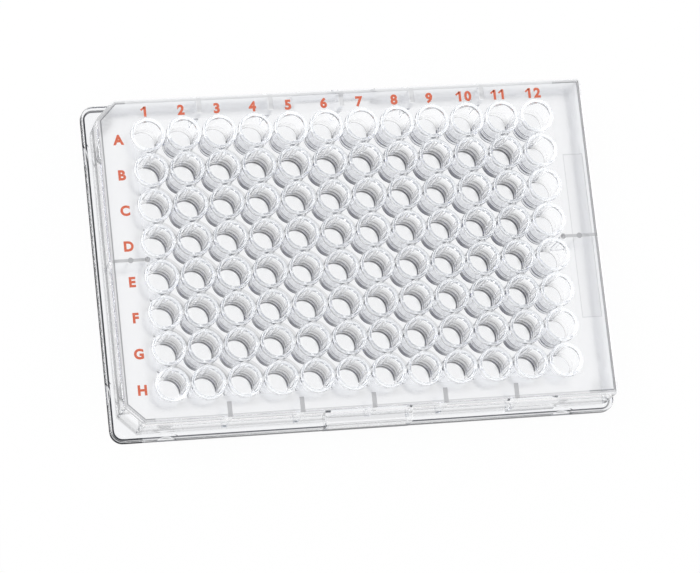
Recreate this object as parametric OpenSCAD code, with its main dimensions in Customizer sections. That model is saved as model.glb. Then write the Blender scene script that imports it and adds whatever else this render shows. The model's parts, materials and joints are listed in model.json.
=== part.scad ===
// 96-well flat-bottom microplate, moulded in one piece of clear polystyrene.
// Origin: centre of the footprint, on the plane the base stands on.
// +X runs from column 1 to the last column, +Y from the last row to row A, +Z up.

/* [Well grid] */
// Number of columns, numbered along X
columns = 12; // [6:2:12]
// Number of rows, lettered along Y
rows = 8; // [4:2:8]
// Distance between the centres of neighbouring wells
pitch = 9; // [8:0.1:12]
// Distance from the end of the base to the centre of the first column
end_margin = 14.38; // [13:0.01:20]
// Distance from the side of the base to the centre of the first row
side_margin = 11.24; // [10:0.01:16]

/* [Heights above the bench] */
// Top of the well rims
plate_height = 14.35; // [12:0.05:20]
// Inside floor of each well
well_floor_level = 3.8; // [2:0.1:5]
// Height that the rims stand above the deck
rim_rise = 0.4; // [0.2:0.1:1]
// Height of the base flange
flange_height = 2.41; // [2:0.01:4]
// Height of the raised flange in the middle of the front and the back
raised_height = 6.8; // [4:0.1:8]

/* [Wells] */
// Inside diameter of each well
well_d = 6.8; // [5:0.1:7.2]
// Widening of the mouth's lead-in, each side
mouth_lead = 0.14; // [0.05:0.01:0.3]
// Height of the mouth's lead-in
mouth_height = 0.4; // [0.2:0.1:0.6]
// Wall of each well at its rim
rim_wall = 0.8; // [0.6:0.01:1]
// Wall of each well at its foot
foot_wall = 0.5; // [0.5:0.05:1]
// Thickness of each well's floor
floor_thickness = 1.2; // [0.8:0.1:1.5]
// Thickness of the webs that join neighbouring wells
web_thickness = 1; // [0.6:0.1:1.5]
// Distance from the deck down to the lower edge of the webs
web_depth = 8; // [3:0.5:10]

/* [Deck and skirt] */
// Thickness of the deck
deck_thickness = 1.3; // [1:0.1:2]
// Distance from the edge of the base in to the side walls
wall_inset = 1.9; // [1.5:0.1:3]
// Thickness of the side walls and of the flange
skirt_wall = 1; // [0.8:0.1:1.5]
// Radius of the four corners of the base
base_corner_r = 3.18; // [2:0.01:5]
// Size of the cut corners of the deck, beside the first column
corner_cut = 4.7; // [3:0.1:7]
// Width of the bevel around the deck
bevel_width = 0.8; // [0.4:0.1:0.8]
// Height of the bevel around the deck
bevel_height = 0.5; // [0.2:0.1:0.8]
// Length of the raised flange
raised_length = 22; // [14:1:30]

/* [Grip notches in the flange] */
// Length of each notch along the edge
notch_length = 5.4; // [4:0.1:7]
// Depth of each notch into the edge
notch_depth = 0.85; // [0.5:0.05:1.2]
// Height of the lip that stays under each notch
notch_lip = 0.6; // [0.4:0.1:1]
// Distance from the end of the base to the notches in the long sides
notch_from_end = 13.7; // [10:0.1:16]
// Distance from the side of the base to the notches in the short ends
notch_from_side = 12.5; // [10:0.1:16]

/* [Ribs under the deck] */
// Thickness of the ribs along the long sides
side_rib_thickness = 1.15; // [0.8:0.05:1.5]
// Distance from the outside of the wall to the free end of these ribs
side_rib_reach = 4.3; // [3:0.1:4.5]
// Thickness of the rib at each end, midway between the rows
end_rib_thickness = 0.8; // [0.6:0.1:1.2]
// Distance from the outside of the wall to the free end of these ribs
end_rib_reach = 9.4; // [6:0.1:9.6]
// Diameter of the two round posts on each end rib
post_d = 1.4; // [1:0.1:2]
// Distance between the two posts
post_spacing = 4.2; // [3:0.1:5]
// Height of the lower edge of the ribs above the bench
rib_level = 3; // [2.5:0.1:6]

/* [Panels] */
// Length of the shallow writing panel on the deck, beside the last column
label_length = 42; // [20:1:50]
// Width of the writing panel
label_width = 4.9; // [3:0.1:5]
// Depth of the writing panel
label_depth = 0.15; // [0.05:0.05:0.3]
// Distance from the edge of the base in to the writing panel
label_inset = 3.9; // [3.5:0.1:4.5]
// Length of the thickened panel on the front wall
pad_length = 12.4; // [8:0.1:16]
// Thickness that the panel adds to the front wall
pad_thickness = 0.5; // [0.3:0.1:0.8]
// Top of the panel above the bench
pad_top = 9.5; // [7:0.1:11]
// Distance from the end of the base to the panel
pad_from_end = 16.2; // [10:0.1:25]

/* [Hidden] */
$fn = 64;
base_length = (columns - 1) * pitch + 2 * end_margin;
base_width = (rows - 1) * pitch + 2 * side_margin;
wall_length = base_length - 2 * wall_inset;
wall_width = base_width - 2 * wall_inset;
first_x = -(columns - 1) * pitch / 2;
first_y = (rows - 1) * pitch / 2;
deck_level = plate_height - rim_rise;
deck_under = deck_level - deck_thickness;
well_foot = well_floor_level - floor_thickness;
rim_r = well_d / 2 + mouth_lead + rim_wall;
foot_r = well_d / 2 + foot_wall;
notch_r = (pow(notch_length / 2, 2) + pow(notch_depth, 2)) / (2 * notch_depth);
overrun = 1;

function column_x(column) = first_x + column * pitch;
function row_y(row) = first_y - row * pitch;

// The outline of the base, drawn in by a distance from its edge
module base_outline(inset) {
    straight_x = base_length / 2 - base_corner_r;
    straight_y = base_width / 2 - base_corner_r;
    corner_r = max(base_corner_r - inset, 0.5);
    reach = base_corner_r - inset;
    square([2 * straight_x, 2 * (straight_y + reach)], center = true);
    square([2 * (straight_x + reach), 2 * straight_y], center = true);
    for (x = [-1, 1])
        for (y = [-1, 1])
            translate([x * (straight_x + reach - corner_r), y * (straight_y + reach - corner_r)])
                circle(corner_r);
}

// The corners of the walls' outline, drawn in by a distance, counter-clockwise
function wall_corners(inset) = let (
    x = wall_length / 2 - inset,
    y = wall_width / 2 - inset,
    cut = corner_cut - inset * (2 - sqrt(2))
) [
    [x, -y],
    [x, y],
    [cut - x, y],
    [-x, y - cut],
    [-x, cut - y],
    [cut - x, -y]
];

// The block of the deck and walls, drawn in by a distance
module wall_block(inset, from, to) {
    translate([0, 0, from])
        linear_extrude(to - from)
            polygon(wall_corners(inset));
}

// A wedge that bevels one edge of the deck, between two corners of its outline
module bevel_wedge(start, end) {
    run = end - start;
    length = norm(run) + 2 * overrun;
    translate([start[0], start[1], deck_level])
        rotate([0, 0, atan2(run[1], run[0])])
            translate([-overrun, 0, 0])
                rotate([90, 0, 90])
                    linear_extrude(length)
                        polygon([
                            [0, -bevel_height],
                            [bevel_width, 0],
                            [bevel_width, overrun],
                            [-overrun, overrun],
                            [-overrun, -bevel_height]
                        ]);
}

module deck_bevel() {
    corners = wall_corners(0);
    for (i = [0 : len(corners) - 1])
        bevel_wedge(corners[i], corners[(i + 1) % len(corners)]);
}

// The raised part of the flange, midway along the front and the back
module raised_flange(inset, from, to) {
    translate([-raised_length / 2 + inset, -base_width / 2 + inset, from])
        cube([raised_length - 2 * inset, base_width - 2 * inset, to - from]);
}

// One cylinder for each notch, each grown by a distance from the notch's face
module notch_cylinders(growth, from, to) {
    centre = notch_r - notch_depth;
    for (side = [-1, 1])
        for (end = [-1, 1]) {
            translate([end * (base_length / 2 - notch_from_end), side * (base_width / 2 + centre), from])
                cylinder(h = to - from, r = notch_r + growth);
            translate([end * (base_length / 2 + centre), side * (base_width / 2 - notch_from_side), from])
                cylinder(h = to - from, r = notch_r + growth);
        }
}

// The thickened panel on the front wall
module front_pad() {
    translate([base_length / 2 - pad_from_end - pad_length, -wall_width / 2 - pad_thickness, 0])
        cube([pad_length, pad_thickness + skirt_wall, pad_top]);
}

// The outside of the deck, walls and flange
module skirt_outside() {
    difference() {
        union() {
            linear_extrude(flange_height)
                base_outline(0);
            raised_flange(0, 0, raised_height);
            wall_block(0, 0, deck_level);
            front_pad();
        }
        deck_bevel();
        notch_cylinders(0, notch_lip, flange_height + overrun);
    }
}

// The hollow under the deck and inside the flange
module skirt_inside() {
    wall_block(skirt_wall, -overrun, deck_under);
    difference() {
        union() {
            translate([0, 0, -overrun])
                linear_extrude(overrun + flange_height - skirt_wall)
                    base_outline(skirt_wall);
            raised_flange(skirt_wall, -overrun, raised_height - skirt_wall);
        }
        notch_cylinders(skirt_wall, -2 * overrun, flange_height);
    }
}

// The outside of one well, from its foot to its rim
module well_outside() {
    translate([0, 0, well_foot])
        cylinder(h = deck_level - well_foot, r1 = foot_r, r2 = rim_r);
    translate([0, 0, deck_under])
        cylinder(h = plate_height - deck_under, r = rim_r);
}

// The bore of one well with its lead-in
module well_inside() {
    lead_start = plate_height - mouth_height;
    translate([0, 0, well_floor_level])
        cylinder(h = plate_height + overrun - well_floor_level, d = well_d);
    translate([0, 0, lead_start])
        cylinder(h = mouth_height, r1 = well_d / 2, r2 = well_d / 2 + mouth_lead);
}

// Webs that join the wells of each row and of each column
module webs() {
    top = deck_under + deck_thickness / 2;
    for (row = [0 : rows - 1])
        translate([first_x, row_y(row) - web_thickness / 2, deck_under - web_depth])
            cube([(columns - 1) * pitch, web_thickness, top - deck_under + web_depth]);
    for (column = [0 : columns - 1])
        translate([column_x(column) - web_thickness / 2, -first_y, deck_under - web_depth])
            cube([web_thickness, (rows - 1) * pitch, top - deck_under + web_depth]);
}

// Ribs under the deck that stiffen the long walls, between every second pair of columns
module side_ribs() {
    top = deck_under + deck_thickness / 2;
    for (turn = [0, 180])
        for (column = [1 : 2 : columns - 3])
            rotate([0, 0, turn])
                translate([
                    column_x(column + 0.5) - side_rib_thickness / 2,
                    wall_width / 2 - side_rib_reach,
                    rib_level
                ])
                    cube([side_rib_thickness, side_rib_reach - skirt_wall / 2, top - rib_level]);
}

// The rib with two posts at each end, midway between the rows
module end_ribs() {
    top = deck_under + deck_thickness / 2;
    free_end = wall_length / 2 - end_rib_reach;
    for (turn = [0, 180])
        rotate([0, 0, turn]) {
            translate([free_end, -end_rib_thickness / 2, rib_level])
                cube([end_rib_reach - skirt_wall / 2, end_rib_thickness, top - rib_level]);
            for (post = [0, 1])
                translate([free_end + post * post_spacing, 0, rib_level])
                    cylinder(h = top - rib_level, d = post_d);
        }
}

module label_panel() {
    translate([
        base_length / 2 - label_inset - label_width,
        -label_length / 2,
        deck_level - label_depth
    ])
        cube([label_width, label_length, label_depth + overrun]);
}

module at_each_well() {
    for (column = [0 : columns - 1])
        for (row = [0 : rows - 1])
            translate([column_x(column), row_y(row), 0])
                children();
}

module plate() {
    color([0.9, 0.94, 0.97, 0.6])
        difference() {
            union() {
                difference() {
                    skirt_outside();
                    skirt_inside();
                    label_panel();
                }
                side_ribs();
                end_ribs();
                webs();
                at_each_well()
                    well_outside();
            }
            at_each_well()
                well_inside();
        }
}

plate();
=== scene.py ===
# A clear 96-well plate for the biology bench, with its printed row letters and column numbers.
import json
import math

import bmesh
import bpy
from mathutils import Euler, Matrix, Vector


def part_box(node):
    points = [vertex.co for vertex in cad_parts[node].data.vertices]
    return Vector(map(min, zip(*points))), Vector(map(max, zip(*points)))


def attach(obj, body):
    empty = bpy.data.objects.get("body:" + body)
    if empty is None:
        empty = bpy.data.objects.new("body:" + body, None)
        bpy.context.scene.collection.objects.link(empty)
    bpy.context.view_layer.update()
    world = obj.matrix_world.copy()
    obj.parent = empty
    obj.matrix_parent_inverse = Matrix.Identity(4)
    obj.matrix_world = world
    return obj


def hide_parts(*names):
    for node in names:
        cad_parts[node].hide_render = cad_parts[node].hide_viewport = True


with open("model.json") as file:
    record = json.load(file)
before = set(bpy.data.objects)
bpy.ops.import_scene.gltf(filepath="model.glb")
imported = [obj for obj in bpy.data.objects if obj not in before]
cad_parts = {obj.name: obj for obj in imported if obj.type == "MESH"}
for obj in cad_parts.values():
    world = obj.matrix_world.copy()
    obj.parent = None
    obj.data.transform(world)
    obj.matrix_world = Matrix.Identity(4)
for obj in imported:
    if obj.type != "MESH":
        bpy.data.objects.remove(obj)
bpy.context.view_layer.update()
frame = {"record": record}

mm = 0.001
plateLow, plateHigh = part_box("plate")
plateSize = plateHigh - plateLow
rimLevel = plateHigh.z

# Every well is a stated bore of the frame: its place, its floor and the deck around its rim
wellMounts = [mount for mount in frame["record"]["mounts"] if mount["kind"] == "bore"]
wellPlaces = [Vector(mount["pos_m"]) for mount in wellMounts]
wellDepth = wellMounts[0]["dims"]["length_mm"] * mm
floorLevel = wellPlaces[0].z - wellDepth / 2
deckLevel = wellPlaces[0].z + wellDepth / 2
columnPlaces = sorted({round(place.x, 5) for place in wellPlaces})
rowPlaces = sorted({round(place.y, 5) for place in wellPlaces}, reverse=True)
pitch = columnPlaces[1] - columnPlaces[0]
print(f"frame: {len(wellPlaces)} wells, plate {plateSize.x / mm:.2f} x {plateSize.y / mm:.2f} mm")

samePlace = 0.001 * mm  # points nearer than this are one
uprightLeast = 0.1 * mm  # an upright edge is at least this tall
creaseLeast = 0.2  # an edge bends by more than this, in radians


def newPiece(name, bm):
    mesh = bpy.data.meshes.new(name)
    bm.to_mesh(mesh)
    bm.free()
    piece = bpy.data.objects.new(name, mesh)
    bpy.context.scene.collection.objects.link(piece)
    return piece


def applyModifiers(piece):
    depsgraph = bpy.context.evaluated_depsgraph_get()
    finished = bpy.data.meshes.new_from_object(piece.evaluated_get(depsgraph))
    piece.modifiers.clear()
    rough = piece.data
    piece.data = finished
    bpy.data.meshes.remove(rough)


def combine(piece, tool, operation):
    boolean = piece.modifiers.new(operation.lower(), "BOOLEAN")
    boolean.object = tool
    boolean.operation = operation
    boolean.solver = "MANIFOLD"
    applyModifiers(piece)
    bpy.data.objects.remove(tool)


def addBox(bm, size, centre):
    corners = bmesh.ops.create_cube(bm, size=1)["verts"]
    bmesh.ops.scale(bm, vec=size, verts=corners)
    bmesh.ops.translate(bm, vec=centre, verts=corners)
    return corners


def addPost(bm, radius, low, high, place, segments):
    post = bmesh.ops.create_cone(bm, cap_ends=True, segments=segments, radius1=radius, radius2=radius,
                                 depth=high - low)
    bmesh.ops.translate(bm, vec=(place[0], place[1], (low + high) / 2), verts=post["verts"])


def bevelEdges(bm, edges, width, segments):
    bmesh.ops.bevel(bm, geom=edges, offset=width, offset_type="OFFSET", affect="EDGES", segments=segments,
                    profile=0.5, material=-1, clamp_overlap=True)


def uprightEdges(bm, chosen=lambda x, y: True):
    return [edge for edge in bm.edges
            if abs(edge.verts[0].co.z - edge.verts[1].co.z) > uprightLeast
            and (edge.verts[0].co.xy - edge.verts[1].co.xy).length < samePlace
            and chosen(*edge.verts[0].co.xy)]


def edgesAt(bm, level):
    return [edge for edge in bm.edges
            if all(abs(vert.co.z - level) < samePlace for vert in edge.verts)
            and len(edge.link_faces) == 2 and edge.calc_face_angle(0) > creaseLeast]


def spinProfile(bm, profile, steps):
    points = [bm.verts.new((radius, 0, level)) for radius, level in profile]
    edges = [bm.edges.new(pair) for pair in zip(points, points[1:])]
    bmesh.ops.spin(bm, geom=points + edges, axis=(0, 0, 1), cent=(0, 0, 0), angle=2 * math.pi,
                   steps=steps, use_merge=True)
    bmesh.ops.remove_doubles(bm, verts=bm.verts, dist=samePlace)
    bmesh.ops.recalc_face_normals(bm, faces=bm.faces)


def arc(centre, radius, start, end, steps):
    # Points of a round corner of a profile, from one angle to another in degrees
    return [(centre[0] + radius * math.cos(math.radians(start + (end - start) * i / steps)),
             centre[1] + radius * math.sin(math.radians(start + (end - start) * i / steps)))
            for i in range(steps + 1)]


def atEveryWell(name, bm):
    # One copy of a shape at every well, in one mesh
    single = bpy.data.meshes.new(name)
    bm.to_mesh(single)
    bm.free()
    many = bmesh.new()
    for place in wellPlaces:
        known = len(many.verts)
        many.from_mesh(single)
        many.verts.ensure_lookup_table()
        bmesh.ops.translate(many, vec=(place.x, place.y, 0), verts=many.verts[known:])
    bpy.data.meshes.remove(single)
    return newPiece(name, many)


skirt = dict(
    deckThickness=1.3 * mm, wallInset=1.9 * mm, wall=1 * mm, cornerCut=4.7 * mm, cutRound=0.5 * mm,
    deckCorner=0.8 * mm, leastCorner=0.3 * mm,
    bandWidth=0.8 * mm, bandHeight=0.5 * mm, edgeRound=0.15 * mm, cornerSteps=4, roundSteps=2,
    flangeHeight=2.41 * mm, flangeCorner=3.18 * mm, flangeRound=0.3 * mm, flangeSteps=8, softSteps=3,
    raisedLength=22 * mm, raisedHeight=6.8 * mm,
    padLength=12.4 * mm, padThickness=0.5 * mm, padTop=9.5 * mm, padFromEnd=16.2 * mm,
    panelLength=42 * mm, panelWidth=4.9 * mm, panelDepth=0.15 * mm, panelInset=3.9 * mm,
)
notch = dict(length=5.4 * mm, depth=0.85 * mm, lip=0.6 * mm, fromEnd=13.7 * mm, fromSide=12.5 * mm, steps=96)
overrun = 1 * mm  # how far a cutting shape stands out of what it cuts
deckUnder = deckLevel - skirt["deckThickness"]
intoDeck = deckUnder + skirt["deckThickness"] / 2  # webs, ribs and posts end inside the deck
wallX, wallY = plateSize.x / 2 - skirt["wallInset"], plateSize.y / 2 - skirt["wallInset"]


def wallBlock(inset, low, high, band=0):
    bm = bmesh.new()
    length = plateSize.x - 2 * (skirt["wallInset"] + inset)
    width = plateSize.y - 2 * (skirt["wallInset"] + inset)
    addBox(bm, (length, width, high - band - low), (0, 0, (low + high - band) / 2))
    cut = skirt["cornerCut"] - inset * (2 - math.sqrt(2))
    corner = max(skirt["deckCorner"] - inset, skirt["leastCorner"])
    bevelEdges(bm, uprightEdges(bm, lambda x, y: x < 0), cut, 1)
    bevelEdges(bm, uprightEdges(bm, lambda x, y: x > 0), corner, skirt["cornerSteps"])
    bevelEdges(bm, uprightEdges(bm, lambda x, y: x < 0), skirt["cutRound"], skirt["roundSteps"])
    if band:
        top = [face for face in bm.faces if face.normal.z > 0.9]
        bmesh.ops.inset_region(bm, faces=top, thickness=skirt["bandWidth"], depth=band)
        edges = edgesAt(bm, high) + edgesAt(bm, high - band)
        bevelEdges(bm, edges, skirt["edgeRound"], skirt["roundSteps"])
    return bm


def flangeBlock(inset, low, high, softness=0):
    bm = bmesh.new()
    addBox(bm, (plateSize.x - 2 * inset, plateSize.y - 2 * inset, high - low), (0, 0, (low + high) / 2))
    bevelEdges(bm, uprightEdges(bm), skirt["flangeCorner"] - inset, skirt["flangeSteps"])
    if softness:
        bevelEdges(bm, edgesAt(bm, high) + edgesAt(bm, low), softness, skirt["softSteps"])
    return bm


def raisedBlock(inset, low, high, softness=0):
    bm = bmesh.new()
    size = (skirt["raisedLength"] - 2 * inset, plateSize.y - 2 * inset, high - low)
    addBox(bm, size, (0, 0, (low + high) / 2))
    if softness:
        bevelEdges(bm, uprightEdges(bm) + edgesAt(bm, high), softness, skirt["softSteps"])
    return bm


def notchRounds(growth, low, high):
    radius = ((notch["length"] / 2) ** 2 + notch["depth"] ** 2) / (2 * notch["depth"])
    reach = radius - notch["depth"]
    bm = bmesh.new()
    for side in (-1, 1):
        for end in (-1, 1):
            along = (end * (plateSize.x / 2 - notch["fromEnd"]), side * (plateSize.y / 2 + reach))
            across = (end * (plateSize.x / 2 + reach), side * (plateSize.y / 2 - notch["fromSide"]))
            for middle in (along, across):
                addPost(bm, radius + growth, low, high, middle, notch["steps"])
    return bm


def makeSkirt():
    flangeTop, wall = skirt["flangeHeight"], skirt["wall"]
    shell = newPiece("clear_plate", flangeBlock(0, 0, flangeTop, skirt["flangeRound"]))
    raised = raisedBlock(0, 0, skirt["raisedHeight"], skirt["flangeRound"])
    combine(shell, newPiece("raised", raised), "UNION")
    combine(shell, newPiece("walls", wallBlock(0, 0, deckLevel, skirt["bandHeight"])), "UNION")
    pad = bmesh.new()
    padEnd = plateSize.x / 2 - skirt["padFromEnd"]
    addBox(pad, (skirt["padLength"], skirt["padThickness"] + wall, skirt["padTop"]),
           (padEnd - skirt["padLength"] / 2, -wallY - skirt["padThickness"] / 2 + wall / 2,
            skirt["padTop"] / 2))
    combine(shell, newPiece("pad", pad), "UNION")
    notches = notchRounds(0, notch["lip"], flangeTop + overrun)
    combine(shell, newPiece("notches", notches), "DIFFERENCE")

    hollow = newPiece("hollow", flangeBlock(wall, -overrun, flangeTop - wall))
    raisedHollow = raisedBlock(wall, -overrun, skirt["raisedHeight"] - wall)
    combine(hollow, newPiece("raisedHollow", raisedHollow), "UNION")
    notchWalls = notchRounds(wall, -2 * overrun, flangeTop)
    combine(hollow, newPiece("notchWalls", notchWalls), "DIFFERENCE")
    combine(hollow, newPiece("wallHollow", wallBlock(wall, -overrun, deckUnder)), "UNION")
    combine(shell, hollow, "DIFFERENCE")

    panel = bmesh.new()
    addBox(panel, (skirt["panelWidth"], skirt["panelLength"], skirt["panelDepth"] + overrun),
           (plateSize.x / 2 - skirt["panelInset"] - skirt["panelWidth"] / 2, 0,
            deckLevel + (overrun - skirt["panelDepth"]) / 2))
    combine(shell, newPiece("panel", panel), "DIFFERENCE")
    return shell


well = dict(
    mouthRadius=3.45 * mm, floorRadius=3.38 * mm, rimRadius=4.3 * mm, footRadius=3.9 * mm,
    mouthRound=0.3 * mm, rimRound=0.3 * mm, floorRound=0.12 * mm, footRound=0.15 * mm,
    floorThickness=1.2 * mm, ringPitch=1.3 * mm, ringStep=0.06 * mm, rings=3,
    steps=36, topSteps=4, bottomSteps=3,
)
webs = dict(thickness=1 * mm, depth=8 * mm)
ribs = dict(sideThickness=1.15 * mm, sideReach=4.3 * mm, endThickness=0.8 * mm, endReach=9.4 * mm,
            postRadius=0.7 * mm, postSpacing=4.2 * mm, postSteps=32, level=3 * mm)
shading = dict(sharpFrom=30, faceWeight=100)  # an angle in degrees, and how much large faces count
postPlaces = [wallX - ribs["endReach"] + post * ribs["postSpacing"] for post in (0, 1)]


def tubeShape():
    foot = floorLevel - well["floorThickness"]
    rim, footRound, rimRound = well["rimRadius"], well["footRound"], well["rimRound"]
    profile = [(0, foot)]
    footCentre = (well["footRadius"] - footRound, foot + footRound)
    profile += arc(footCentre, footRound, -90, 0, well["bottomSteps"])
    for ring in range(1, well["rings"] + 1):  # the mould's fine steps around the foot
        level = foot + ring * well["ringPitch"]
        radius = well["footRadius"] + ring * well["ringStep"]
        profile += [(radius - well["ringStep"], level), (radius, level + well["ringStep"])]
    profile += [(rim, deckUnder)]
    profile += arc((rim - rimRound, rimLevel - rimRound), rimRound, 0, 90, well["topSteps"])
    profile += [(0, rimLevel)]
    bm = bmesh.new()
    spinProfile(bm, profile, well["steps"])
    return bm


def boreShape():
    mouth, mouthRound, floorRound = well["mouthRadius"], well["mouthRound"], well["floorRound"]
    profile = [(0, floorLevel)]
    floorCentre = (well["floorRadius"] - floorRound, floorLevel + floorRound)
    profile += arc(floorCentre, floorRound, -90, 0, well["bottomSteps"])
    mouthCentre = (mouth + mouthRound, rimLevel - mouthRound)
    profile += arc(mouthCentre, mouthRound, 180, 90, well["topSteps"])
    profile += [(mouth + mouthRound, rimLevel + overrun), (0, rimLevel + overrun)]
    bm = bmesh.new()
    spinProfile(bm, profile, well["steps"])
    return bm


def webBars(alongRows):
    top, low = intoDeck, deckUnder - webs["depth"]
    middle, height = (top + low) / 2, top - low
    bm = bmesh.new()
    if alongRows:
        length = columnPlaces[-1] - columnPlaces[0]
        for y in rowPlaces:
            addBox(bm, (length, webs["thickness"], height), (0, y, middle))
    else:
        length = rowPlaces[0] - rowPlaces[-1]
        for x in columnPlaces:
            addBox(bm, (webs["thickness"], length, height), (x, 0, middle))
    return bm


def ribBars():
    # Side ribs between every second pair of columns, and one rib in the middle of each end
    middle, height = (intoDeck + ribs["level"]) / 2, intoDeck - ribs["level"]
    intoWall = skirt["wall"] / 2
    bm = bmesh.new()
    inner, outer = wallY - ribs["sideReach"], wallY - intoWall
    for column in range(1, len(columnPlaces) - 2, 2):
        for side in (-1, 1):
            addBox(bm, (ribs["sideThickness"], outer - inner, height),
                   (columnPlaces[column] + pitch / 2, side * (inner + outer) / 2, middle))
    inner, outer = wallX - ribs["endReach"], wallX - intoWall
    for end in (-1, 1):
        addBox(bm, (outer - inner, ribs["endThickness"], height), (end * (inner + outer) / 2, 0, middle))
    return bm


def ribPosts():
    # Two round posts on each end rib: one at its free end and one along it
    bm = bmesh.new()
    for end in (-1, 1):
        for along in postPlaces:
            addPost(bm, ribs["postRadius"], ribs["level"], intoDeck, (end * along, 0), ribs["postSteps"])
    return bm


def makePlate():
    plate = makeSkirt()
    print("skirt made")
    combine(plate, newPiece("ribs", ribBars()), "UNION")
    combine(plate, newPiece("posts", ribPosts()), "UNION")
    combine(plate, newPiece("rowWebs", webBars(True)), "UNION")
    combine(plate, newPiece("columnWebs", webBars(False)), "UNION")
    combine(plate, atEveryWell("tubes", tubeShape()), "UNION")
    combine(plate, atEveryWell("bores", boreShape()), "DIFFERENCE")
    plate.data.polygons.foreach_set("use_smooth", [True] * len(plate.data.polygons))
    plate.data.set_sharp_from_angle(angle=math.radians(shading["sharpFrom"]))
    weighted = plate.modifiers.new("flat faces stay flat", "WEIGHTED_NORMAL")
    weighted.keep_sharp = True
    weighted.weight = shading["faceWeight"]
    applyModifiers(plate)
    print(f"plate made: {len(plate.data.polygons)} faces")
    return plate


labels = dict(
    height=2.65 * mm, thickness=0.03 * mm, curveSteps=4,
    numberShift=-0.2 * mm, numberY=37.3 * mm, letterX=-56.95 * mm, letterShift=-1.1 * mm,
    # These are in the font's own units, and the flag's turn in degrees
    capHeight=0.69, boldness=0.045, depth=0.04, digitWidth=0.6,
    flagLength=0.34, flagHeight=0.13, flagTurn=38,
)


def addGlyph(bm, glyph):
    # One character, centred, at the font's own size
    curve = bpy.data.curves.new(glyph, "FONT")
    curve.body = glyph
    curve.align_x, curve.align_y = "CENTER", "CENTER"
    curve.offset = labels["boldness"]
    curve.resolution_u = labels["curveSteps"]
    curve.extrude = labels["depth"] / 2
    letter = bpy.data.objects.new(glyph, curve)
    bpy.context.scene.collection.objects.link(letter)
    bpy.context.view_layer.update()
    mesh = bpy.data.meshes.new_from_object(letter.evaluated_get(bpy.context.evaluated_depsgraph_get()))
    bm.from_mesh(mesh)
    bpy.data.objects.remove(letter)
    bpy.data.curves.remove(curve)
    bpy.data.meshes.remove(mesh)
    if glyph == "1":  # a sloping flag at the top of the stroke
        length, height = labels["flagLength"], labels["flagHeight"]
        top = max(vert.co.y for vert in bm.verts)
        left = min(vert.co.x for vert in bm.verts)
        corners = addBox(bm, (length, height, labels["depth"]), (-length / 2, 0, 0))
        turn = Matrix.Rotation(math.radians(labels["flagTurn"]), 3, "Z")
        bmesh.ops.rotate(bm, verts=corners, matrix=turn)
        bmesh.ops.translate(bm, verts=corners, vec=(left + height / 2, top - height / 2, 0))


def addLabel(bm, text, place):
    scale = labels["height"] / (labels["capHeight"] + 2 * labels["boldness"])
    flatten = labels["thickness"] / labels["depth"]
    for i, glyph in enumerate(text):
        single = bmesh.new()
        addGlyph(single, glyph)
        across = (i - (len(text) - 1) / 2) * labels["digitWidth"]
        bmesh.ops.translate(single, verts=single.verts, vec=(across, 0, 0))
        bmesh.ops.scale(single, verts=single.verts, vec=(scale, scale, flatten))
        bmesh.ops.translate(single, verts=single.verts, vec=place)
        mesh = bpy.data.meshes.new(text)
        single.to_mesh(mesh)
        single.free()
        bm.from_mesh(mesh)
        bpy.data.meshes.remove(mesh)


def makeLabels(name, placed):
    bm = bmesh.new()
    for text, x, y in placed:
        addLabel(bm, text, Vector((x, y, deckLevel + labels["thickness"] / 2)))
    bmesh.ops.remove_doubles(bm, verts=bm.verts, dist=samePlace / 2)
    return newPiece(name, bm)


def newMaterial(name):
    material = bpy.data.materials.new(name)
    material.use_nodes = True
    material.node_tree.nodes.clear()
    return material, material.node_tree


def feed(tree, socket, value):
    # A socket takes a plain value or what another node gives out
    if isinstance(value, bpy.types.NodeSocket):
        tree.links.new(value, socket)
    else:
        socket.default_value = value


def calculate(tree, operation, *values):
    step = tree.nodes.new("ShaderNodeMath")
    step.operation = operation
    for socket, value in zip(step.inputs, values):
        feed(tree, socket, value)
    return step.outputs[0]


def chain(tree, operation, first, *others):
    # One operation on several values, one after another
    for other in others:
        first = calculate(tree, operation, first, other)
    return first


def fade(tree, value, fromMin, fromMax, toMin=0, toMax=1, kind="SMOOTHSTEP"):
    ramp = tree.nodes.new("ShaderNodeMapRange")
    ramp.interpolation_type = kind
    names = ("Value", "From Min", "From Max", "To Min", "To Max")
    for name, number in zip(names, (value, fromMin, fromMax, toMin, toMax)):
        feed(tree, ramp.inputs[name], number)
    return ramp.outputs["Result"]


def blendColours(tree, share, first, second):
    mix = tree.nodes.new("ShaderNodeMix")
    mix.data_type = "RGBA"
    sockets = (mix.inputs[0], mix.inputs[6], mix.inputs[7])  # the share and the two colours
    for socket, value in zip(sockets, (share, first, second)):
        feed(tree, socket, value)
    return mix.outputs[2]


def blendShaders(tree, share, first, second):
    mix = tree.nodes.new("ShaderNodeMixShader")
    for socket, value in zip(mix.inputs, (share, first, second)):
        feed(tree, socket, value)
    return mix.outputs[0]


def finishMaterial(tree, surface):
    output = tree.nodes.new("ShaderNodeOutputMaterial")
    tree.links.new(surface, output.inputs["Surface"])


def objectPlace(tree):
    # The place in the object's own metres: as a vector, and as x, y and z
    place = tree.nodes.new("ShaderNodeTexCoord").outputs["Object"]
    parts = tree.nodes.new("ShaderNodeSeparateXYZ")
    tree.links.new(place, parts.inputs[0])
    return place, *parts.outputs


def distanceFrom(tree, x, y, place=(0, 0)):
    # How far x and y lie from a place, which is given in mm
    offsets = [calculate(tree, "SUBTRACT", value, start * mm) for value, start in zip((x, y), place)]
    squares = [calculate(tree, "MULTIPLY", offset, offset) for offset in offsets]
    return calculate(tree, "SQRT", calculate(tree, "ADD", *squares))


moulding = dict(flowDetail=2, speckDetail=1, specksFrom=0.52, specksTo=0.68, flowShare=0.7,
                smoothAt=0.2, roughAt=0.75)


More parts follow.
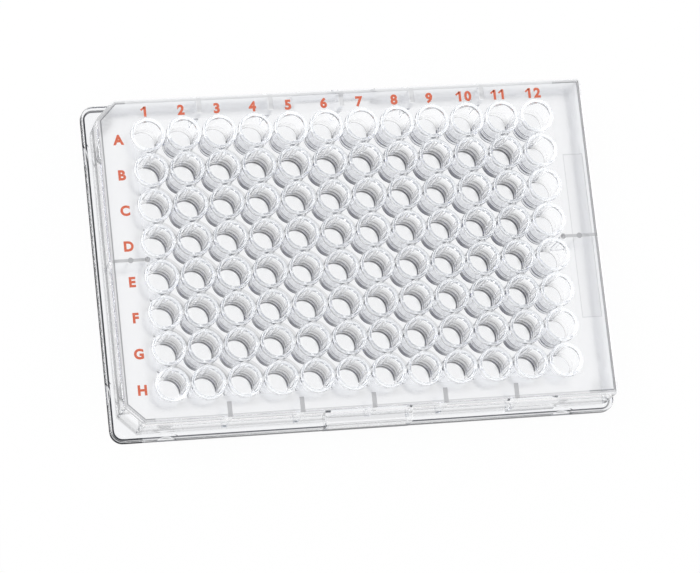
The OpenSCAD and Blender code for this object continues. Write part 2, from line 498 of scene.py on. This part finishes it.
def mouldedFinish():
    # Slow flow marks and fine specks, which the plastic and the ink both carry
    group = bpy.data.node_groups.new("moulded finish", "ShaderNodeTree")
    group.interface.new_socket(name="Place", in_out="INPUT", socket_type="NodeSocketVector")
    for name in ("Flow Scale", "Speck Scale", "Smoothest", "Roughest"):
        group.interface.new_socket(name=name, in_out="INPUT", socket_type="NodeSocketFloat")
    for name in ("Flow", "Specks", "Roughness"):
        group.interface.new_socket(name=name, in_out="OUTPUT", socket_type="NodeSocketFloat")
    given = group.nodes.new("NodeGroupInput").outputs
    result = group.nodes.new("NodeGroupOutput").inputs
    noises = {}
    for name, detail in (("Flow", moulding["flowDetail"]), ("Speck", moulding["speckDetail"])):
        noise = group.nodes.new("ShaderNodeTexNoise")
        noise.inputs["Detail"].default_value = detail
        group.links.new(given["Place"], noise.inputs["Vector"])
        group.links.new(given[name + " Scale"], noise.inputs["Scale"])
        noises[name] = noise.outputs[0]
    specks = fade(group, noises["Speck"], moulding["specksFrom"], moulding["specksTo"])
    both = calculate(group, "ADD", calculate(group, "MULTIPLY", noises["Flow"], moulding["flowShare"]),
                     calculate(group, "MULTIPLY", specks, 1 - moulding["flowShare"]))
    roughness = fade(group, both, moulding["smoothAt"], moulding["roughAt"],
                     given["Smoothest"], given["Roughest"])
    group.links.new(noises["Flow"], result["Flow"])
    group.links.new(specks, result["Specks"])
    group.links.new(roughness, result["Roughness"])
    return group


def addFinish(tree, group, place, values):
    finish = tree.nodes.new("ShaderNodeGroup")
    finish.node_tree = group
    tree.links.new(place, finish.inputs["Place"])
    for name, number in values.items():
        finish.inputs[name].default_value = number
    return finish.outputs


def addBump(tree, shader, height, depth):
    bump = tree.nodes.new("ShaderNodeBump")
    bump.inputs["Strength"].default_value = 1
    bump.inputs["Distance"].default_value = depth
    tree.links.new(height, bump.inputs["Height"])
    tree.links.new(bump.outputs["Normal"], shader.inputs["Normal"])


white, black = (1, 1, 1, 1), (0, 0, 0, 1)
plastic = dict(
    colour=(0.985, 0.99, 1, 1), dark=(0, 0, 0.01, 1), index=1.59, lampShade=(0.93, 0.935, 0.94, 1),
    waves=0.002 * mm, finish={"Flow Scale": 220, "Speck Scale": 2600, "Smoothest": 0, "Roughest": 0.01},
)
# The rims' tops are frosted and carry a painted glow
rimGlowAndFrost = dict(frosted=0.2, glow=(0.19, 0.2, 0.21, 1), startsAt=0.05 * mm, fullAt=0.2 * mm)
border = dict(beyondWells=3.2 * mm, softness=0.5 * mm, frosted=0.3)
# Painted shade: dark lines where light is turned away, on tubes and in bores: height in mm, half width in
# mm, darkness
wellShadeLines = dict(
    tube=[(2.8, 0.3, 1), (5.2, 0.35, 1), (7.8, 0.35, 0.9)], bore=[(4.1, 0.4, 1), (6.2, 0.3, 0.95)],
    rimReach=0.3 * mm, acrossRow=0.85, fullTowardsRow=0.5, endSoftness=0.6 * mm,
)
# Painted shade in lines along the flange: how far past its outline, at what height and how dark
flangeShadeLines = dict(
    outer=dict(past=0, halfWidth=0.35 * mm, level=1.15 * mm, halfHeight=0.95 * mm, darkness=0.85),
    inner=dict(past=-skirt["wall"], halfWidth=0.15 * mm, level=0.6 * mm, halfHeight=0.75 * mm,
               darkness=0.95),
)
# Painted shade in the deck where walls, ribs and posts join it from below, and along the panel: how dark
deckJoinShade = dict(wallTop=0.4, wallInside=0.8, ribs=0.65, endRibs=0.6, posts=0.75, panelEdge=0.35, panel=0.06)
# How far each of them reaches, and the share of it that shows along the long sides
joinEdges = dict(
    deckReach=0.2 * mm, wallTop=0.05 * mm, insideOffset=0.1 * mm, insideHalf=0.15 * mm, panelHalf=0.12 * mm,
    sideShare=0.5,
)


def pastWells(tree, x, y):
    # How far a place lies outside the rectangle through the centres of the outermost wells
    pastX = calculate(tree, "SUBTRACT", calculate(tree, "ABSOLUTE", x), columnPlaces[-1])
    pastY = calculate(tree, "SUBTRACT", calculate(tree, "ABSOLUTE", y), rowPlaces[0])
    return calculate(tree, "MAXIMUM", pastX, pastY)


def onDeck(tree, z):
    return calculate(tree, "COMPARE", z, deckLevel, joinEdges["deckReach"])


def borderFrost(tree, x, y, z):
    # The deck around the wells is finely frosted, where the letters are printed
    start = border["beyondWells"]
    outside = fade(tree, pastWells(tree, x, y), start, start + border["softness"])
    return chain(tree, "MULTIPLY", outside, onDeck(tree, z), border["frosted"])


def linesAt(tree, z, lines):
    shade = 0
    for level, halfWidth, darkness in lines:
        away = calculate(tree, "ABSOLUTE", calculate(tree, "SUBTRACT", z, level * mm))
        line = fade(tree, away, halfWidth * mm / 2, halfWidth * mm, darkness, 0)
        shade = calculate(tree, "MAXIMUM", shade, line)
    return shade


def wellPaintedShade(tree, x, y, z):
    # Painted shade: dark lines around each tube and in each bore, strongest towards the neighbours in the
    # row
    offsets = [calculate(tree, "WRAP", calculate(tree, "SUBTRACT", value, start), pitch / 2, -pitch / 2)
               for value, start in ((x, columnPlaces[0]), (y, rowPlaces[-1]))]
    reach = distanceFrom(tree, *offsets)
    middle = (well["floorRadius"] + well["footRadius"]) / 2
    onTube = calculate(tree, "COMPARE", reach, well["footRadius"], well["footRadius"] - middle)
    onRim = calculate(tree, "COMPARE", reach, well["rimRadius"], wellShadeLines["rimReach"])
    onBore = calculate(tree, "COMPARE", reach, well["floorRadius"], middle - well["floorRadius"])
    tubeShade = calculate(tree, "MULTIPLY", calculate(tree, "MAXIMUM", onTube, onRim),
                          linesAt(tree, z, wellShadeLines["tube"]))
    boreShade = calculate(tree, "MULTIPLY", onBore, linesAt(tree, z, wellShadeLines["bore"]))
    towardsRow = calculate(tree, "POWER", calculate(tree, "DIVIDE", offsets[0], reach), 2)
    strength = fade(tree, towardsRow, 0, wellShadeLines["fullTowardsRow"], wellShadeLines["acrossRow"], 1)
    withinWells = fade(tree, pastWells(tree, x, y), 0, wellShadeLines["endSoftness"], 1, 0)
    shade = calculate(tree, "ADD", tubeShade, boreShade)
    passed = calculate(tree, "SUBTRACT", 1, chain(tree, "MULTIPLY", shade, strength, withinWells))
    # Clear plastic passes about the square root of its colour
    return calculate(tree, "SUBTRACT", 1, calculate(tree, "POWER", passed, 2))


def pastFlange(tree, x, y):
    # How far a place lies outside the rounded outline of the flange; inside it is negative
    sides = []
    for value, half in ((x, plateSize.x / 2), (y, plateSize.y / 2)):
        size = calculate(tree, "ABSOLUTE", value)
        sides.append(calculate(tree, "SUBTRACT", size, half - skirt["flangeCorner"]))
    around = distanceFrom(tree, *(calculate(tree, "MAXIMUM", side, 0) for side in sides))
    within = calculate(tree, "MINIMUM", calculate(tree, "MAXIMUM", *sides), 0)
    return calculate(tree, "SUBTRACT", calculate(tree, "ADD", around, within), skirt["flangeCorner"])


def pastWalls(tree, x, y):
    # The same for the outline of the upper walls, which two corners cut short
    sides = calculate(tree, "ADD", pastFlange(tree, x, y), skirt["wallInset"])
    cutStart = wallX + wallY - skirt["cornerCut"]
    pastCut = chain(tree, "SUBTRACT", calculate(tree, "ABSOLUTE", y), x, cutStart)
    return calculate(tree, "MAXIMUM", sides, calculate(tree, "MULTIPLY", pastCut, math.sqrt(0.5)))


def flangePaintedShade(tree, x, y, z):
    # Painted shade in dark lines along the flange's outer edge and its inner face
    past = pastFlange(tree, x, y)
    shade = 0
    for line in flangeShadeLines.values():
        beside = calculate(tree, "COMPARE", past, line["past"], line["halfWidth"])
        atLevel = calculate(tree, "COMPARE", z, line["level"], line["halfHeight"])
        painted = chain(tree, "MULTIPLY", beside, atLevel, line["darkness"])
        shade = calculate(tree, "MAXIMUM", shade, painted)
    return shade


def wallPlaces(tree, x, y, farX):
    # Where the walls stand under the deck, and just inside them; their painted shade is weaker along the
    # long sides
    past = pastWalls(tree, x, y)
    wall = skirt["wall"]
    top = calculate(tree, "COMPARE", past, -wall / 2, wall / 2 + joinEdges["wallTop"])
    inside = calculate(tree, "COMPARE", past, -wall - joinEdges["insideOffset"], joinEdges["insideHalf"])
    atEnds = calculate(tree, "GREATER_THAN", farX, plateSize.x / 2 - 2 * skirt["cornerCut"])
    strength = fade(tree, atEnds, 0, 1, joinEdges["sideShare"], 1)
    return [calculate(tree, "MULTIPLY", place, strength) for place in (top, inside)]


def sideRibPlaces(tree, x, y, farX, farY):
    # Side ribs stand between every second pair of columns; the painted shade of the front ones is strongest
    nearest = calculate(tree, "WRAP", x, pitch, -pitch)
    onRib = calculate(tree, "COMPARE", nearest, 0, ribs["sideThickness"] / 2)
    beyondWells = calculate(tree, "GREATER_THAN", farY, wallY - ribs["sideReach"])
    amongColumns = calculate(tree, "LESS_THAN", farX, columnPlaces[-2])
    strength = fade(tree, y, -pitch, pitch, 1, joinEdges["sideShare"])
    return chain(tree, "MULTIPLY", onRib, beyondWells, amongColumns, strength)


def panelPlaces(tree, x, farY):
    # The writing panel's edge and the panel itself
    panelX = plateSize.x / 2 - skirt["panelInset"] - skirt["panelWidth"] / 2
    panelSide = calculate(tree, "ABSOLUTE", calculate(tree, "SUBTRACT", x, panelX))
    pastSide = calculate(tree, "SUBTRACT", panelSide, skirt["panelWidth"] / 2)
    pastEnd = calculate(tree, "SUBTRACT", farY, skirt["panelLength"] / 2)
    past = calculate(tree, "MAXIMUM", pastSide, pastEnd)
    edge = calculate(tree, "COMPARE", past, 0, joinEdges["panelHalf"])
    return edge, calculate(tree, "LESS_THAN", past, 0)


def deckPaintedShade(tree, x, y, z):
    # Painted shade in the deck over the walls, side ribs, end ribs, posts and the panel
    farX, farY = (calculate(tree, "ABSOLUTE", value) for value in (x, y))
    wallTop, wallInside = wallPlaces(tree, x, y, farX)
    panelEdge, panel = panelPlaces(tree, x, farY)
    onEndRib = calculate(tree, "MULTIPLY", calculate(tree, "COMPARE", y, 0, ribs["endThickness"] / 2),
                         calculate(tree, "GREATER_THAN", farX, wallX - ribs["endReach"]))
    toPosts = [distanceFrom(tree, farX, y, (place / mm, 0)) for place in postPlaces]
    onPost = calculate(tree, "LESS_THAN", calculate(tree, "MINIMUM", *toPosts), ribs["postRadius"])
    places = dict(
        wallTop=wallTop, wallInside=wallInside, ribs=sideRibPlaces(tree, x, y, farX, farY),
        endRibs=onEndRib, posts=onPost, panelEdge=panelEdge, panel=panel,
    )
    joins = [calculate(tree, "MULTIPLY", places[name], darkness) for name, darkness in deckJoinShade.items()]
    return calculate(tree, "MULTIPLY", chain(tree, "MAXIMUM", *joins), onDeck(tree, z))


def clearPlastic(group):
    material, tree = newMaterial("clear polystyrene")
    place, x, y, z = objectPlace(tree)
    finish = addFinish(tree, group, place, plastic["finish"])
    shader = tree.nodes.new("ShaderNodeBsdfPrincipled")
    # Painted shade: dark lines on the flange, deck, tubes and bores, mixed into the plastic's colour
    paintedShade = [painted(tree, x, y, z) for painted in (flangePaintedShade, deckPaintedShade, wellPaintedShade)]
    paintedShade = chain(tree, "MAXIMUM", *paintedShade)
    colour = blendColours(tree, paintedShade, plastic["colour"], plastic["dark"])
    tree.links.new(colour, shader.inputs["Base Color"])
    shader.inputs["IOR"].default_value = plastic["index"]
    shader.inputs["Transmission Weight"].default_value = 1
    # A painted glow on the rims' tops stands in for light that gathers in the rims and leaves through them
    onRim = fade(tree, z, deckLevel + rimGlowAndFrost["startsAt"], deckLevel + rimGlowAndFrost["fullAt"])
    glow = blendColours(tree, onRim, black, rimGlowAndFrost["glow"])
    tree.links.new(glow, shader.inputs["Emission Color"])
    shader.inputs["Emission Strength"].default_value = 1
    rimFrost = calculate(tree, "MULTIPLY", onRim, rimGlowAndFrost["frosted"])
    roughness = chain(tree, "MAXIMUM", finish["Roughness"], borderFrost(tree, x, y, z), rimFrost)
    tree.links.new(roughness, shader.inputs["Roughness"])
    addBump(tree, shader, finish["Flow"], plastic["waves"])
    # The lamps' light passes straight through, and so does the light that the table throws back
    through = tree.nodes.new("ShaderNodeBsdfTransparent")
    through.inputs["Color"].default_value = plastic["lampShade"]
    path = tree.nodes.new("ShaderNodeLightPath")
    seen = blendShaders(tree, path.outputs["Is Shadow Ray"], shader.outputs[0], through.outputs[0])
    finishMaterial(tree, blendShaders(tree, path.outputs["Is Diffuse Ray"], seen, through.outputs[0]))
    return material


ink = dict(
    colour=(0.6, 0.12, 0.06, 1), thin=(0.78, 0.27, 0.17, 1), thinShare=0.6, grain=0.004 * mm,
    finish={"Flow Scale": 900, "Speck Scale": 5200, "Smoothest": 0.35, "Roughest": 0.6},
)


def orangePrint(group):
    material, tree = newMaterial("orange print")
    place = objectPlace(tree)[0]
    finish = addFinish(tree, group, place, ink["finish"])
    shader = tree.nodes.new("ShaderNodeBsdfPrincipled")
    thin = calculate(tree, "MULTIPLY", finish["Specks"], ink["thinShare"])
    tree.links.new(blendColours(tree, thin, ink["colour"], ink["thin"]), shader.inputs["Base Color"])
    tree.links.new(finish["Roughness"], shader.inputs["Roughness"])
    addBump(tree, shader, finish["Specks"], ink["grain"])
    finishMaterial(tree, shader.outputs[0])
    return material


# Painted shade on the table under the plate, in rings and patches, standing in for light through the wells
# and webs; places in mm.
# Rings: distance from the well at a cell's low corner, brightness. Patches: place, radius, darkness.
# Wall band and flange lines: distance past the outline, brightness.
paintedShadeUnderPlate = dict(
    rings=[(4.3, 0.97), (4.75, 0.7), (5.05, 0.5), (5.3, 0.4), (5.6, 0.44), (6.1, 0.54), (6.7, 0.48),
           (7.7, 0.46), (8.15, 0.52), (8.5, 0.8), (8.7, 0.84), (8.9, 0.74), (9.0, 0.84), (9.15, 1)],
    patches=[((4.9, 2.2), 2.2, 0.6), ((2, 4.5), 1.5, 0.4)],
    reach=10, fadeFrom=3, fadeTo=5.2,
    wallBand=[(-3.2, 1), (-2.8, 0.74), (-0.4, 0.66), (0, 1)],
    flangeShadeLines=[(-1.15, 1), (-1.05, 0.12), (-0.75, 0.12), (-0.6, 1),
                 (-0.15, 1), (0, 0.1), (0.5, 0.1), (0.7, 1)],
    edgeReach=4, frontShare=0.45, depth=8 * mm,
)


def brightnessRamp(tree, share, stops):
    ramp = tree.nodes.new("ShaderNodeValToRGB")
    tree.links.new(share, ramp.inputs["Fac"])
    elements = ramp.color_ramp.elements
    while len(elements) < len(stops):
        elements.new(0.5)
    for element, (position, brightness) in zip(elements, stops):
        element.position = position
        element.color = (brightness, brightness, brightness, 1)
    return ramp.outputs["Color"]


def wellShade(tree, x, y):
    # Painted shade on the table: rings and patches in each cell between four wells
    cellX = calculate(tree, "WRAP", calculate(tree, "SUBTRACT", x, columnPlaces[0]), pitch, 0)
    cellY = calculate(tree, "WRAP", calculate(tree, "SUBTRACT", y, rowPlaces[-1]), pitch, 0)
    share = fade(tree, distanceFrom(tree, cellX, cellY), 0, paintedShadeUnderPlate["reach"] * mm, kind="LINEAR")
    rings = [(distance / paintedShadeUnderPlate["reach"], brightness) for distance, brightness in paintedShadeUnderPlate["rings"]]
    shade = brightnessRamp(tree, share, rings)
    for middle, radius, darkness in paintedShadeUnderPlate["patches"]:
        away = distanceFrom(tree, cellX, cellY, middle)
        patch = fade(tree, away, 0, radius * mm, 1 - darkness, 1)
        shade = calculate(tree, "MULTIPLY", shade, patch)
    # The rings keep to the cell's diagonal, so that none ends hard under a well
    aside = calculate(tree, "ABSOLUTE", calculate(tree, "SUBTRACT", cellX, cellY))
    faded = fade(tree, aside, paintedShadeUnderPlate["fadeFrom"] * mm, paintedShadeUnderPlate["fadeTo"] * mm)
    shade = blendColours(tree, faded, shade, white)
    withinWells = fade(tree, pastWells(tree, x, y), 0, pitch / 2, 1, 0)
    return blendColours(tree, withinWells, white, shade)


def edgeShade(tree, x, y):
    # A painted grey band under the walls and painted lines under the flange, at the lettered end and the
    # front
    reach = paintedShadeUnderPlate["edgeReach"]
    edge = 1
    for past, stops in ((pastWalls, paintedShadeUnderPlate["wallBand"]), (pastFlange, paintedShadeUnderPlate["flangeShadeLines"])):
        share = fade(tree, past(tree, x, y), -reach * mm, reach * mm, kind="LINEAR")
        stops = [((place + reach) / (2 * reach), brightness) for place, brightness in stops]
        edge = calculate(tree, "MULTIPLY", edge, brightnessRamp(tree, share, stops))
    atEnd = calculate(tree, "LESS_THAN", x, paintedShadeUnderPlate["depth"] - plateSize.x / 2)
    atFront = calculate(tree, "LESS_THAN", y, paintedShadeUnderPlate["depth"] - plateSize.y / 2)
    atFront = calculate(tree, "MULTIPLY", atFront, paintedShadeUnderPlate["frontShare"])
    return blendColours(tree, calculate(tree, "MAXIMUM", atEnd, atFront), white, edge)


def whiteTableWithPaintedShade():
    # The table is plain white to the camera and keeps the plate's shadow; through the plate and in its
    # reflections it shows painted shade: the rings, patches and bands
    material, tree = newMaterial("white table with painted shade")
    diffuse = tree.nodes.new("ShaderNodeBsdfDiffuse")
    diffuse.inputs["Color"].default_value = studio["tableColour"]
    glow = tree.nodes.new("ShaderNodeEmission")
    path = tree.nodes.new("ShaderNodeLightPath")
    share = calculate(tree, "MULTIPLY", path.outputs["Is Camera Ray"], studio["tableGlow"])
    seen = blendShaders(tree, share, diffuse.outputs[0], glow.outputs[0])
    _, x, y, _ = objectPlace(tree)
    below = tree.nodes.new("ShaderNodeEmission")
    shade = calculate(tree, "MULTIPLY", wellShade(tree, x, y), edgeShade(tree, x, y))
    tree.links.new(shade, below.inputs["Color"])
    bent = calculate(tree, "MAXIMUM", path.outputs["Is Transmission Ray"], path.outputs["Is Glossy Ray"])
    finishMaterial(tree, blendShaders(tree, bent, seen, below.outputs[0]))
    return material


# The room turns from white to dim between two heights above the horizon, which are in degrees
studio = dict(
    tableSize=6, tableColour=(0.9, 0.9, 0.9, 1), tableGlow=0.93, tableGap=0.05 * mm,
    horizon=1, dim=0.3, overhead=(0.72, 0.8, 1, 1), fill=0.5, whiteUpTo=5, dimFrom=35,
    bounces=24, glossyBounces=14,
)
lamps = [
    dict(name="key softbox", place=(-0.55, 0.35, 0.8), size=0.6, energy=6),
    dict(name="side softbox", place=(0.75, -0.1, 0.6), size=0.5, energy=3.5),
]
# The turn is in degrees, the lens and the sensor in mm
view = dict(
    place=(-213.88 * mm, -229.26 * mm, 949.48 * mm), turn=(14.179, -11.243, -6.186),
    lens=205.71, sensor=36, clip=(0.01, 20),
)


def makeWorld():
    # White below and around the horizon, as the table goes on for ever, and dim and bluish overhead.
    # The camera sees plain white, and matt surfaces get an even white fill.
    world = bpy.data.worlds.new("studio")
    bpy.context.scene.world = world
    world.use_nodes = True
    tree = world.node_tree
    parts = tree.nodes.new("ShaderNodeSeparateXYZ")
    tree.links.new(tree.nodes.new("ShaderNodeTexCoord").outputs["Generated"], parts.inputs[0])
    height = parts.outputs["Z"]
    path = tree.nodes.new("ShaderNodeLightPath").outputs
    toCamera, toMatt = path["Is Camera Ray"], path["Is Diffuse Ray"]
    heights = [math.sin(math.radians(studio[name])) for name in ("whiteUpTo", "dimFrom")]
    around = fade(tree, height, *heights, studio["horizon"], studio["dim"])
    strength = calculate(tree, "MAXIMUM", around, toCamera)
    strength = fade(tree, toMatt, 0, 1, strength, studio["fill"])
    direct = calculate(tree, "MAXIMUM", toCamera, toMatt)
    overhead = calculate(tree, "MULTIPLY", fade(tree, height, *heights),
                         calculate(tree, "SUBTRACT", 1, direct))
    background = tree.nodes["Background"].inputs
    tree.links.new(blendColours(tree, overhead, white, studio["overhead"]), background["Color"])
    tree.links.new(strength, background["Strength"])


def makeStage():
    bm = bmesh.new()
    bmesh.ops.create_grid(bm, x_segments=1, y_segments=1, size=studio["tableSize"] / 2)
    bmesh.ops.translate(bm, vec=(0, 0, -studio["tableGap"]), verts=bm.verts)
    floor = newPiece("floor", bm)
    floor.data.materials.append(whiteTableWithPaintedShade())

    makeWorld()
    for lamp in lamps:
        light = bpy.data.lights.new(lamp["name"], "AREA")
        light.shape = "SQUARE"
        light.size = lamp["size"]
        light.energy = lamp["energy"]
        holder = bpy.data.objects.new(lamp["name"], light)
        holder.location = lamp["place"]
        holder.rotation_euler = (-Vector(lamp["place"])).to_track_quat("-Z", "Y").to_euler()
        bpy.context.scene.collection.objects.link(holder)

    camera = bpy.data.cameras.new("camera")
    camera.lens = view["lens"]
    camera.sensor_width = view["sensor"]
    camera.clip_start, camera.clip_end = view["clip"]
    eye = bpy.data.objects.new("camera", camera)
    eye.location = view["place"]
    eye.rotation_euler = Euler([math.radians(a) for a in view["turn"]])
    bpy.context.scene.collection.objects.link(eye)
    bpy.context.scene.camera = eye
    bpy.context.scene.view_settings.view_transform = "Standard"
    lightPaths = bpy.context.scene.cycles  # light runs a long way inside the clear plastic
    lightPaths.max_bounces = studio["bounces"]
    lightPaths.glossy_bounces = studio["glossyBounces"]
    lightPaths.transmission_bounces = studio["bounces"]


makeStage()
print("stage made")

plate = makePlate()
plate.data.materials.clear()
finishGroup = mouldedFinish()
plate.data.materials.append(clearPlastic(finishGroup))
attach(plate, "root")
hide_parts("plate")

numbers = [(str(i + 1), x + labels["numberShift"], labels["numberY"]) for i, x in enumerate(columnPlaces)]
letters = [(letter, labels["letterX"], y + labels["letterShift"])
           for letter, y in zip("ABCDEFGH", rowPlaces)]
for name, placed in (("column_numbers", numbers), ("row_letters", letters)):
    printed = makeLabels(name, placed)
    printed.data.materials.append(orangePrint(finishGroup))
    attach(printed, "root")
print("labels made")
